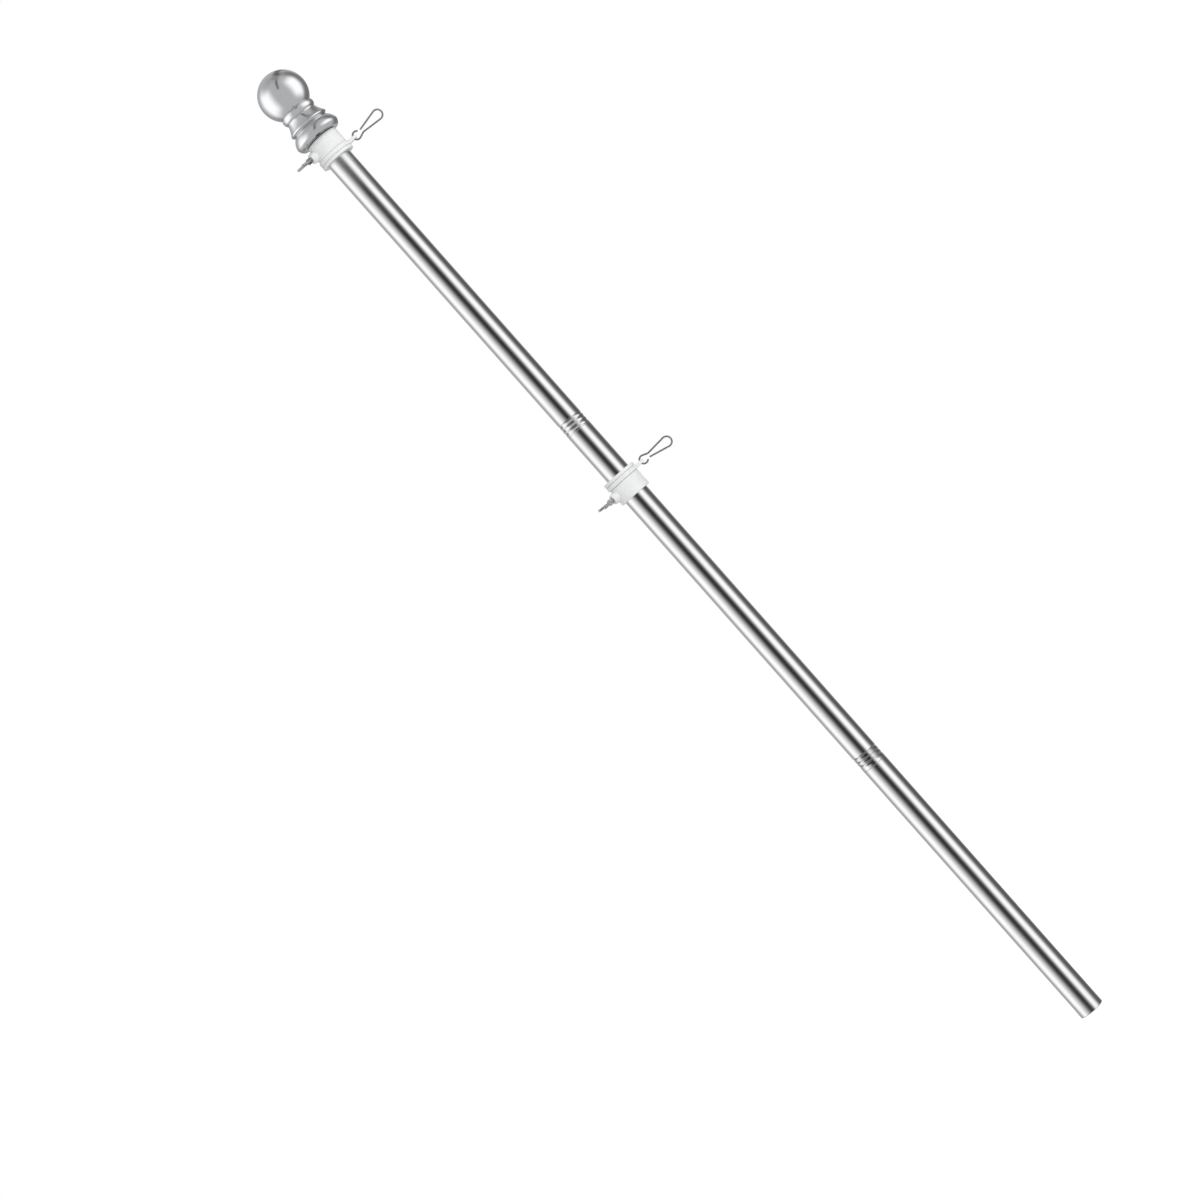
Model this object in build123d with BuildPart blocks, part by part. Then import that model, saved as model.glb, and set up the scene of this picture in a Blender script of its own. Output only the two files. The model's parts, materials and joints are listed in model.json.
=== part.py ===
"""Sectional house flagpole with a ball finial and two swivelling flag collars.

Millimetres, +Z up along the pole, +X on the side of the snap clips.
The origin is the centre of the flat butt end.
"""

import os
from math import acos, atan2, cos, degrees, hypot, radians, sin, sqrt

from build123d import *

# Tube sections, from the butt upwards
tube_diameter = 25.4
tube_wall = 0.8
tube_edge = 0.3
lower_length = 305.0
middle_length = 415.0
upper_length = 362.0

# Plug in the butt end, flush with the tube
plug_head = 2.0
plug_wall = 2.0
plug_depth = 20.0

# Rolled thread at the screwed joints
thread_turns = 3
thread_pitch = 4.25
thread_depth = 0.4
thread_width = 1.9
thread_start = 3.0
spigot_length = 22.0
spigot_taper = 2.0
push_clearance = 0.05

# Finial: heights are above the end of the upper tube
ball_diameter = 48.8
ball_wall = 1.6
ferrule_height = 35.0
ferrule_top_radius = 16.8
bead_radius = 17.8
bead_height = 32.2
waist_radius = 16.1
waist_height = 28.0
throat_height = 26.6
cove_radius = 37.0
ridge_radius = 20.4
ridge_height = 18.2
ridge_width = 1.4
notch_radius = 18.2
notch_height = 14.9
skirt_round = 15.9
shoulder_radius = 23.7
shoulder_height = 6.8
rim_radius = 23.95
rim_height = 5.1
under_radius = 23.5
under_height = 3.3
foot_round = 8.7
foot_radius = 21.1
stud_radius = 5.0
stud_length = 30.0

# Swivel collars: depths are measured from the outer face of the flange
lower_flange_height = 665.0
finial_gap = 0.3
collar_height = 25.3
collar_radius = 16.4
bore_clearance = 0.1
neck_radius = 14.6
flange_radius = 17.6
flange_thickness = 3.4
flange_lip = 1.2
ring_thickness = 3.8
ring_gap = 0.35
ring_clearance = 0.1
edge_round = 0.9

# Lug that carries the clip
lug_hole_radius = 1.6
lug_hole_reach = 23.2
lug_tip_radius = 2.9
lug_tip_thickness = 3.0
lug_root_width = 9.0

# Wire snap clip: places are measured from the centre of its eye
wire_diameter = 1.8
eye_radius = 4.0
eye_offset = 3.7
eye_end_angle = -38.0
waist_reach = 6.8
waist_rise = 1.7
waist_round = 4.0
loop_radius = 4.9
loop_reach = 26.9
loop_drop = 1.7
gate_tip_reach = 5.8
gate_tip_drop = 1.9

# Wing screw and its boss: reaches are measured from the axis of the pole
screw_angle = 200.0
screw_depth = 15.3
screw_radius = 2.0
screw_clearance = 0.06
screw_tip_gap = 0.1
boss_radius = 6.3
boss_reach = 21.4
boss_draft = 12.0
hub_reach = 22.2
hub_length = 4.3
hub_radius = 2.9
wing_root_radius = 2.3
wing_root_reach = 25.4
wing_root_spread = 1.8
wing_tip_radius = 1.8
wing_tip_reach = 34.4
wing_tip_spread = 8.0
wing_thickness = 2.4
wing_turn = -6.0

# Places that follow from the sizes above
tube_radius = tube_diameter / 2
tube_bore = tube_radius - tube_wall
groove_radius = ((thread_width / 2) ** 2 + thread_depth**2) / (2 * thread_depth)
groove_centre = tube_radius - thread_depth + groove_radius
upper_seam = lower_length + middle_length
tube_top = upper_seam + upper_length
ferrule_top = tube_top + ferrule_height
ball_radius = ball_diameter / 2
ball_centre = ferrule_top + sqrt(ball_radius**2 - ferrule_top_radius**2)
upper_flange_height = tube_top - finial_gap - collar_height
collar_bore = tube_radius + bore_clearance
ring_depth = flange_thickness + ring_gap
grip_depth = ring_depth + ring_thickness + ring_gap
wire_radius = wire_diameter / 2
eye_reach = lug_hole_reach + eye_offset

os.makedirs("parts", exist_ok=True)


def save(piece, name):
    """Label a finished piece and write it under its node's name."""
    piece.label = name
    export_step(piece, f"parts/{name}.step")


def tube_section(bottom, top, has_thread, has_spigot):
    """Make one tube: a plain wall, rolled grooves at its foot, a necked spigot on top."""
    spigot_radius = tube_bore - push_clearance
    spigot_bore = spigot_radius - tube_wall
    foot_wall = [
        (tube_bore, bottom),
        (tube_radius - tube_edge, bottom),
        (tube_radius, bottom + tube_edge),
        (tube_radius, top - tube_edge),
        (tube_radius - tube_edge, top),
    ]
    top_wall = [(tube_bore, top)]
    if has_spigot:
        top_wall = [
            (spigot_radius, top),
            (spigot_radius, top + spigot_length),
            (spigot_bore, top + spigot_length),
            (spigot_bore, top - spigot_taper),
            (tube_bore, top - 2 * spigot_taper),
        ]
    with BuildPart() as section:
        with BuildSketch(Plane.XZ):
            with BuildLine():
                Polyline(*foot_wall, *top_wall, close=True)
            make_face()
            if has_thread:
                first_groove = bottom + thread_start
                for turn in range(thread_turns):
                    with Locations((groove_centre, first_groove + turn * thread_pitch)):
                        Circle(groove_radius, mode=Mode.SUBTRACT)
        revolve(axis=Axis.Z)
    return section.part


# Tubes
save(tube_section(0, lower_length, False, True), "lower_tube")
save(tube_section(lower_length, upper_seam, True, True), "middle_tube")
save(tube_section(upper_seam, tube_top, True, False), "upper_tube")

# Plug that closes the butt end
with BuildPart() as butt_plug:
    with BuildSketch(Plane.XY):
        Circle(tube_bore - push_clearance)
    extrude(amount=plug_depth)
    with BuildSketch(Plane.XY.offset(plug_head)):
        Circle(tube_bore - push_clearance - plug_wall)
    extrude(amount=plug_depth - plug_head, mode=Mode.SUBTRACT)
save(butt_plug.part, "butt_plug")

# Turned ferrule under the ball
with BuildPart() as finial_ferrule:
    with BuildSketch(Plane.XZ):
        with BuildLine():
            foot = (foot_radius, tube_top)
            under = (under_radius, tube_top + under_height)
            rim = (rim_radius, tube_top + rim_height)
            shoulder = (shoulder_radius, tube_top + shoulder_height)
            notch = (notch_radius, tube_top + notch_height)
            ridge_foot = (ridge_radius, tube_top + ridge_height - ridge_width)
            ridge = (ridge_radius, tube_top + ridge_height)
            throat = (waist_radius, tube_top + throat_height)
            waist = (waist_radius, tube_top + waist_height)
            neck = (ferrule_top_radius, ferrule_top)
            RadiusArc(foot, under, -foot_round)
            ThreePointArc(under, rim, shoulder)
            RadiusArc(shoulder, notch, -skirt_round)
            Polyline(notch, ridge_foot, ridge)
            RadiusArc(ridge, throat, -cove_radius)
            Line(throat, waist)
            ThreePointArc(waist, (bead_radius, tube_top + bead_height), neck)
            Polyline(neck, (stud_radius, ferrule_top), (stud_radius, tube_top), foot)
        make_face()
    revolve(axis=Axis.Z)
save(finial_ferrule.part, "finial_ferrule")

# Hollow ball seated on the ferrule
with BuildPart() as finial_ball:
    with Locations((0, 0, ball_centre)):
        Sphere(ball_radius)
        Sphere(ball_radius - ball_wall, mode=Mode.SUBTRACT)
    split(bisect_by=Plane.XY.offset(ferrule_top), keep=Keep.TOP)
save(finial_ball.part, "finial_ball")

# Stud that holds the ferrule in the upper tube
with BuildPart() as finial_stud:
    with BuildSketch(Plane.XY.offset(tube_top - stud_length)):
        Circle(tube_bore - push_clearance)
    extrude(amount=stud_length)
    with BuildSketch(Plane.XY.offset(tube_top)):
        Circle(stud_radius - push_clearance)
    extrude(amount=ferrule_height)
save(finial_stud.part, "finial_stud")


def on_circle(centre, radius, angle):
    """Return the point of a circle at an angle in degrees."""
    return (centre[0] + radius * cos(radians(angle)), centre[1] + radius * sin(radians(angle)))


def tangent_angle(centre, radius, outside, side):
    """Return the angle on a circle where a line from an outside point touches it."""
    across = outside[0] - centre[0]
    up = outside[1] - centre[1]
    return degrees(atan2(up, across) + side * acos(radius / hypot(across, up)))


def side_plane(base):
    """Return the plane that holds a collar's axis and the middle of its clip."""
    return Plane(origin=base.origin, x_dir=base.x_dir, z_dir=-base.y_dir)


def screw_plane(base, way):
    """Return the plane on the pole's axis whose normal is the wing screw's axis."""
    angle = radians(way * screw_angle)
    outward = base.x_dir * cos(angle) + base.y_dir * sin(angle)
    return Plane(origin=base.origin - base.z_dir * screw_depth, x_dir=base.z_dir, z_dir=outward)


def rounded_ring(base, inner, outer, first_depth, last_depth):
    """Make a ring about the collar's axis with rounded outer edges."""
    with BuildPart() as ring:
        with BuildSketch(side_plane(base)) as section:
            with BuildLine():
                Polyline(
                    (inner, -first_depth),
                    (outer, -first_depth),
                    (outer, -last_depth),
                    (inner, -last_depth),
                    close=True,
                )
            make_face()
            fillet(section.vertices().group_by(Axis.X)[-1], edge_round)
        revolve(axis=Axis.Z)
    return ring.part


def clamp_body(base, way):
    """Make the fixed sleeve: its grip, the neck under the ring and the screw's boss."""
    screw = screw_plane(base, way)
    grip = rounded_ring(base, collar_bore, collar_radius, grip_depth, collar_height)
    with BuildPart() as body:
        add(grip)
        with BuildSketch(base.offset(-collar_height)):
            Circle(neck_radius)
        extrude(amount=collar_height - flange_lip)
        with BuildSketch(screw.offset(neck_radius)):
            Circle(boss_radius)
        extrude(amount=boss_reach - neck_radius, taper=boss_draft)
        fillet(body.faces().sort_by(Axis(screw.origin, screw.z_dir))[-1].edges(), edge_round)
        with BuildSketch(screw):
            Circle(screw_radius + screw_clearance)
        extrude(amount=boss_reach, mode=Mode.SUBTRACT)
        with BuildSketch(base.offset(-collar_height)):
            Circle(collar_bore)
        extrude(amount=collar_height, mode=Mode.SUBTRACT)
    return body.part


def end_flange(base):
    """Make the cap that is pushed on the neck and keeps the ring in place."""
    disc = rounded_ring(base, collar_bore, flange_radius, 0, flange_thickness)
    with BuildPart() as cap:
        add(disc)
        with BuildSketch(base.offset(-flange_thickness)):
            Circle(neck_radius + push_clearance)
        extrude(amount=flange_thickness - flange_lip, mode=Mode.SUBTRACT)
    return cap.part


def swivel_ring(base):
    """Make the turning ring with its tapered, drilled lug."""
    middle = base.offset(-ring_depth - ring_thickness / 2)
    tip_reach = lug_hole_reach + lug_tip_radius
    inner = neck_radius + ring_clearance
    band = rounded_ring(base, inner, flange_radius, ring_depth, ring_depth + ring_thickness)
    with BuildPart() as lug:
        with BuildSketch(middle):
            with Locations((neck_radius + 1, 0)):
                Rectangle(1, lug_root_width)
            with Locations((lug_hole_reach, 0)):
                Circle(lug_tip_radius)
            make_hull()
        extrude(amount=ring_thickness / 2, both=True)
        with BuildSketch(side_plane(middle)):
            with BuildLine():
                Polyline(
                    (neck_radius, -ring_thickness / 2),
                    (flange_radius, -ring_thickness / 2),
                    (tip_reach, -lug_tip_thickness / 2),
                    (tip_reach, lug_tip_thickness / 2),
                    (flange_radius, ring_thickness / 2),
                    (neck_radius, ring_thickness / 2),
                    close=True,
                )
            make_face()
        extrude(amount=lug_root_width, both=True, mode=Mode.INTERSECT)
    with BuildPart() as ring:
        add(band)
        add(lug.part)
        with BuildSketch(middle.offset(-ring_thickness)):
            Circle(inner)
            with Locations((lug_hole_reach, 0)):
                Circle(lug_hole_radius)
        extrude(amount=2 * ring_thickness, mode=Mode.SUBTRACT)
    return ring.part


def snap_clip(base):
    """Make the wire clip: round eye, narrow waist, long loop and free gate."""
    middle = -ring_depth - ring_thickness / 2
    eye = (eye_reach, middle)
    waist = (eye_reach + waist_reach, middle + waist_rise)
    loop = (eye_reach + loop_reach, middle - loop_drop)
    gate_tip = (eye_reach + gate_tip_reach, middle - gate_tip_drop)
    eye_exit = tangent_angle(eye, eye_radius, waist, 1)
    loop_entry = tangent_angle(loop, loop_radius, waist, -1)
    loop_exit = tangent_angle(loop, loop_radius, gate_tip, 1)
    with BuildPart() as clip:
        with BuildLine(side_plane(base)) as wire:
            CenterArc(eye, eye_radius, eye_end_angle, eye_exit - 360 - eye_end_angle)
            FilletPolyline(
                on_circle(eye, eye_radius, eye_exit),
                waist,
                on_circle(loop, loop_radius, loop_entry),
                radius=waist_round,
            )
            CenterArc(loop, loop_radius, loop_entry, loop_exit - loop_entry)
            Line(on_circle(loop, loop_radius, loop_exit), gate_tip)
        path = wire.wire()
        with BuildSketch(Plane(origin=path @ 0, z_dir=path % 0)):
            Circle(wire_radius)
        sweep(path=path)
    return clip.part


def wing_screw(base, way):
    """Make the screw that locks the collar: shank, hub and two wings."""
    screw = screw_plane(base, way)
    tip_reach = tube_radius + screw_tip_gap
    wings = Plane(origin=screw.origin, x_dir=screw.z_dir, z_dir=screw.x_dir)
    with BuildPart() as piece:
        with BuildSketch(screw.offset(tip_reach)):
            Circle(screw_radius)
        extrude(amount=hub_reach - tip_reach)
        with BuildSketch(screw.offset(hub_reach)):
            Circle(hub_radius)
        extrude(amount=hub_length)
        fillet(piece.faces().sort_by(Axis(screw.origin, screw.z_dir))[-1].edges(), edge_round)
        for side in (1, -1):
            with BuildSketch(wings.rotated((wing_turn, 0, 0))):
                with Locations((wing_root_reach, side * wing_root_spread)):
                    Circle(wing_root_radius)
                with Locations((wing_tip_reach, side * wing_tip_spread)):
                    Circle(wing_tip_radius)
                make_hull()
            extrude(amount=wing_thickness / 2, both=True)
    return piece.part


# The lower collar has its flange on top, the upper one is turned over below the finial
for collar, flange_height, way in (
    ("upper", upper_flange_height, -1),
    ("lower", lower_flange_height, 1),
):
    base = Plane(origin=(0, 0, flange_height), x_dir=(1, 0, 0), z_dir=(0, 0, way))
    save(clamp_body(base, way), f"{collar}_clamp_body")
    save(end_flange(base), f"{collar}_end_flange")
    save(swivel_ring(base), f"{collar}_swivel_ring")
    save(snap_clip(base), f"{collar}_snap_clip")
    save(wing_screw(base, way), f"{collar}_wing_screw")
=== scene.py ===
"""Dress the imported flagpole: its tubes, finial, swivel collars, clips and wing screws.

Everything is in metres, in the part's own frame: +Z runs up the pole and +X is the side
of the snap clips. Turned pieces are spun from outlines of (radius, height) points.
"""

import json
import logging
from collections.abc import Callable, Sequence
from dataclasses import dataclass, field
from enum import Enum
from math import acos, asin, atan2, cos, degrees, hypot, pi, radians, sin, sqrt, tan, tau

import bmesh
import bpy
from mathutils import Matrix, Vector

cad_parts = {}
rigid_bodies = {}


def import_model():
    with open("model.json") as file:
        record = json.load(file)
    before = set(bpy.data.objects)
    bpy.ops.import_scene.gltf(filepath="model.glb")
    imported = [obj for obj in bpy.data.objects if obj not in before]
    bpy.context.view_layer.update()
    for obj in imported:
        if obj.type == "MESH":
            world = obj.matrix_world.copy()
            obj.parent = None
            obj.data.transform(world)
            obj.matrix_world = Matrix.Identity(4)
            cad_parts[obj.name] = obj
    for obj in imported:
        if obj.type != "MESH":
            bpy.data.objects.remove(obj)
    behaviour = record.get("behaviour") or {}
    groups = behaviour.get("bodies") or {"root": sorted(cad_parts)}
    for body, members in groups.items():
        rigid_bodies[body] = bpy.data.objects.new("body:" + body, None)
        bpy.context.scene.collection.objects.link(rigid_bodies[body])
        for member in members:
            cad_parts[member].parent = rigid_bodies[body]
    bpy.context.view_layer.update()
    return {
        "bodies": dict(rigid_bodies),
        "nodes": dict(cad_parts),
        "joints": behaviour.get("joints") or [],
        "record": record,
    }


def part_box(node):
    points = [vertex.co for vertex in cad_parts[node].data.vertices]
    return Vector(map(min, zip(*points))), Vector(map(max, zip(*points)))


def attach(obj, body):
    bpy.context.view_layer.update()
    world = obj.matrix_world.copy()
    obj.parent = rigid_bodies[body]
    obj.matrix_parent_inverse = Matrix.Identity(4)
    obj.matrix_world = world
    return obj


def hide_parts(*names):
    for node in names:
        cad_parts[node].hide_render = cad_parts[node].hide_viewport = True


log = logging.getLogger("flagpole")

MM = 0.001
MERGE = 1e-7
SMOOTH_ANGLE = radians(32)
SHARP_ANGLE = radians(40)
QUARTER_TURN = 0.25

Point = tuple[float, float]
Place = tuple[float, float, float]
Corner = tuple[float, float, float]
Colour = tuple[float, float, float]
Piece = bpy.types.Object
Material = bpy.types.Material
Node = bpy.types.Node
Socket = bpy.types.NodeSocket
Tree = bpy.types.NodeTree


class Slot(Enum):
    """The record's material slots."""

    TUBE = "tube_steel"
    FINIAL = "finial_chrome"
    COLLAR = "collar_plastic"
    WIRE = "wire_steel"
    PLUG = "plug_plastic"


class Way(Enum):
    """Which way a collar faces: its flange is on top, or it is turned over."""

    UPRIGHT = "flange on top"
    TURNED_OVER = "flange below"


# Modelling tools


def deselect_all() -> None:
    """Leave nothing selected, so that an operator acts on the new piece alone."""
    bpy.ops.object.select_all(action="DESELECT")


def take(piece: Piece) -> None:
    """Make one piece the only selected one, and the active one."""
    deselect_all()
    piece.select_set(True)
    bpy.context.view_layer.objects.active = piece


def start_shaping(piece: Piece) -> None:
    """Go into edit mode on one piece, with all of it selected."""
    take(piece)
    bpy.ops.object.mode_set(mode="EDIT")
    bpy.ops.mesh.select_all(action="SELECT")


def stop_shaping() -> None:
    """Go back to object mode."""
    bpy.ops.object.mode_set(mode="OBJECT")


def select_points(piece: Piece, wanted: Callable[[Vector], bool]) -> None:
    """Select, in edit mode, the points of a piece that a test picks.

    Args:
        piece: The piece in edit mode.
        wanted: Says of a point's place whether it is picked.
    """
    bpy.ops.mesh.select_all(action="DESELECT")
    mesh = bmesh.from_edit_mesh(piece.data)
    for point in mesh.verts:
        point.select = wanted(point.co)
    mesh.select_flush(True)
    bmesh.update_edit_mesh(piece.data)


def close_surface(piece: Piece) -> None:
    """Merge the doubles of a piece, turn its faces outwards and smooth its round parts."""
    start_shaping(piece)
    bpy.ops.mesh.remove_doubles(threshold=MERGE)
    bpy.ops.mesh.select_all(action="SELECT")
    bpy.ops.mesh.normals_make_consistent(inside=False)
    stop_shaping()
    bpy.ops.object.shade_smooth_by_angle(angle=SMOOTH_ANGLE)


def apply_modifier(piece: Piece, kind: str, **settings: object) -> None:
    """Add a modifier to a piece with some settings, and apply it.

    Args:
        piece: The piece to change.
        kind: Blender's name of the modifier type.
        settings: The modifier's properties and their values.
    """
    take(piece)
    modifier = piece.modifiers.new(kind.lower(), kind)
    for name, value in settings.items():
        setattr(modifier, name, value)
    bpy.ops.object.modifier_apply(modifier=modifier.name)


def cut(piece: Piece, tool: Piece) -> None:
    """Cut a tool's shape out of a piece, and throw the tool away."""
    apply_modifier(piece, "BOOLEAN", object=tool, operation="DIFFERENCE", solver="EXACT")
    bpy.data.objects.remove(tool)


def fuse(piece: Piece, other: Piece) -> None:
    """Join another shape to a piece as one closed surface."""
    apply_modifier(piece, "BOOLEAN", object=other, operation="UNION", solver="EXACT")
    bpy.data.objects.remove(other)


def place(piece: Piece, frame: Matrix) -> Piece:
    """Put a piece where a frame says, with its place in its mesh.

    Args:
        piece: A piece modelled about the origin.
        frame: Where its origin and axes go.

    Returns:
        The same piece.
    """
    take(piece)
    piece.matrix_world = frame
    bpy.ops.object.transform_apply(location=True, rotation=True, scale=True)
    return piece


def copy_of(piece: Piece, name: str) -> Piece:
    """Copy a piece with its own mesh.

    Args:
        piece: The piece to copy.
        name: The copy's name.

    Returns:
        The copy.
    """
    take(piece)
    bpy.ops.object.duplicate(linked=False)
    twin = bpy.context.object
    twin.name = name
    return twin


def trace(name: str, path: Sequence[Point]) -> Piece:
    """Draw a chain of edges in the XZ plane, and stay in edit mode.

    Args:
        name: The piece's name.
        path: Points of (X, Z), in order.

    Returns:
        The chain, in edit mode.
    """
    deselect_all()
    across, height = path[0]
    bpy.ops.mesh.primitive_plane_add(size=MM, location=(across, 0, height))
    chain = bpy.context.object
    chain.name = name
    bpy.ops.object.transform_apply(location=True)
    start_shaping(chain)
    bpy.ops.mesh.merge(type="CENTER")
    for start, end in zip(path, path[1:]):
        step = (end[0] - start[0], 0, end[1] - start[1])
        bpy.ops.mesh.extrude_region_move(TRANSFORM_OT_translate={"value": step})
    return chain


def turn(name: str, outline: Sequence[Point], segments: int = 96) -> Piece:
    """Turn an outline about the Z axis, as on a lathe.

    Args:
        name: The piece's name.
        outline: Points of (radius, height), in order.
        segments: Steps round the axis.

    Returns:
        The turned piece.
    """
    piece = trace(name, outline)
    bpy.ops.mesh.select_all(action="SELECT")
    bpy.ops.mesh.spin(steps=segments, angle=tau, center=(0, 0, 0), axis=(0, 0, 1))
    stop_shaping()
    close_surface(piece)
    return piece


def arc(start: Point, middle: Point, end: Point, steps: int = 16) -> list[Point]:
    """Give points along the arc through three points.

    Args:
        start: The arc's first point.
        middle: Any point on the arc between its ends.
        end: The arc's last point.
        steps: Into how many steps the arc is divided.

    Returns:
        The points, both ends included.
    """
    (ax, ay), (bx, by), (cx, cy) = start, middle, end
    d = 2 * (ax * (by - cy) + bx * (cy - ay) + cx * (ay - by))
    a, b, c = ax**2 + ay**2, bx**2 + by**2, cx**2 + cy**2
    ox = (a * (by - cy) + b * (cy - ay) + c * (ay - by)) / d
    oy = (a * (cx - bx) + b * (ax - cx) + c * (bx - ax)) / d
    radius = hypot(ax - ox, ay - oy)
    first = atan2(ay - oy, ax - ox)
    through = (atan2(by - oy, bx - ox) - first) % tau
    sweep = (atan2(cy - oy, cx - ox) - first) % tau
    if through > sweep:
        sweep -= tau
    angles = [first + sweep * step / steps for step in range(steps + 1)]
    return [(ox + radius * cos(angle), oy + radius * sin(angle)) for angle in angles]


def rounded(corners: Sequence[Corner], steps: int = 6) -> list[Point]:
    """Round the corners of a closed outline.

    Args:
        corners: Points of (radius, height, corner radius); zero leaves a corner sharp.
        steps: Into how many steps each corner is divided.

    Returns:
        The points of the closed outline, the first one repeated at the end.
    """
    points: list[Point] = []
    for index, (x, y, size) in enumerate(corners):
        if not size:
            points.append((x, y))
            continue
        corner = Vector((x, y))
        back = (Vector(corners[index - 1][:2]) - corner).normalized()
        on = (Vector(corners[(index + 1) % len(corners)][:2]) - corner).normalized()
        half = back.angle(on) / 2
        first, last = (corner + side * size / tan(half) for side in (back, on))
        middle = corner + (back + on).normalized() * (size / sin(half) - size)
        points += arc(tuple(first), tuple(middle), tuple(last), steps)
    return [*points, points[0]]


def tapered_bar(
    name: str, start: Vector, start_radius: float, end: Vector, end_radius: float, thickness: float
) -> Piece:
    """Model a flat bar with two round ends and tangent sides, lying in the XY plane.

    Args:
        name: The piece's name.
        start: The centre of its first end.
        start_radius: The radius of its first end, the larger one.
        end: The centre of its second end.
        end_radius: The radius of its second end.
        thickness: Its thickness along Z, half on each side of the plane.

    Returns:
        The bar.
    """
    along = end - start
    touch = (start_radius - end_radius) / along.length
    deselect_all()
    bpy.ops.mesh.primitive_circle_add(vertices=96, radius=1, fill_type="NGON")
    bar = bpy.context.object
    bar.name = name
    start_shaping(bar)
    select_points(bar, lambda place: place.x > touch)
    bpy.ops.transform.resize(value=(end_radius,) * 3, center_override=(0, 0, 0))
    bpy.ops.transform.translate(value=(along.length, 0, 0))
    bpy.ops.mesh.select_all(action="INVERT")
    bpy.ops.transform.resize(value=(start_radius,) * 3, center_override=(0, 0, 0))
    bpy.ops.mesh.select_all(action="SELECT")
    bpy.ops.transform.translate(value=(0, 0, -thickness / 2))
    bpy.ops.mesh.extrude_region_move(TRANSFORM_OT_translate={"value": (0, 0, thickness)})
    bpy.ops.mesh.select_all(action="SELECT")
    bpy.ops.mesh.normals_make_consistent(inside=False)
    stop_shaping()
    angle = atan2(along.y, along.x)
    return place(bar, Matrix.Translation(start) @ Matrix.Rotation(angle, 4, "Z"))


def round_edges(piece: Piece, size: float, steps: int = 4) -> None:
    """Round all the sharp edges of a piece."""
    apply_modifier(
        piece, "BEVEL", width=size, segments=steps, limit_method="ANGLE", angle_limit=SHARP_ANGLE
    )


@dataclass(frozen=True)
class Helix:
    """A rounded groove that winds round the Z axis, from its first height at the front.

    It is pressed into the rows of a turned piece by a weighted displacement. Fade is the
    part of a turn over which it runs out at each end. The higher the keenness, up to 1, the
    straighter its flanks.
    """

    first: float
    pitch: float
    turns: float
    width: float
    depth: float
    left_handed: bool = False
    fade: float = 0.2
    keenness: float = 0.95
    wall_slack: float = 0.02 * MM

    def weight(self, place: Vector) -> float:
        """Say how deep a point lies in the groove.

        Args:
            place: A point on the outside of the piece.

        Returns:
            1 on the floor of the groove, 0 outside it.
        """
        turned = (atan2(place.y, place.x) / tau + QUARTER_TURN + 0.5) % 1 - 0.5
        if self.left_handed:
            turned = -turned
        rise = (place.z - self.first) / self.pitch
        turn_number = round(rise - turned)
        offset = (rise - turned - turn_number) * self.pitch
        if abs(offset) > self.width / 2:
            return 0.0
        wound = turn_number + turned + 0.5
        ends = min(wound, self.turns - wound) / self.fade
        share = max(0.0, min(1.0, ends))
        slope = asin(self.keenness * cos(tau * offset / self.width)) / asin(self.keenness)
        return share * share * (3 - 2 * share) * (0.5 + 0.5 * slope)

    def press(self, piece: Piece, radius: float) -> None:
        """Press the groove into a turned piece, and note its depth on the mesh as a mask of painted
        shade.

        Args:
            piece: A turned piece with close rows where the groove goes.
            radius: The outer radius that the groove starts from.
        """
        group = piece.vertex_groups.new(name="pressed")
        depths = []
        for point in piece.data.vertices:
            on_wall = abs(hypot(point.co.x, point.co.y) - radius) < self.wall_slack
            weight = self.weight(point.co) if on_wall else 0.0
            depths.append(weight)
            if weight:
                group.add([point.index], weight, "REPLACE")
        # The groove's depth is kept as a mask that the metal finish darkens: painted shade.
        painted_shade_mask = piece.data.attributes.new("groove", "FLOAT", "POINT")
        painted_shade_mask.data.foreach_set("value", depths)
        apply_modifier(
            piece,
            "DISPLACE",
            vertex_group="pressed",
            direction="NORMAL",
            mid_level=0.0,
            strength=-self.depth,
        )
        piece.vertex_groups.clear()


# Finishes


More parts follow.
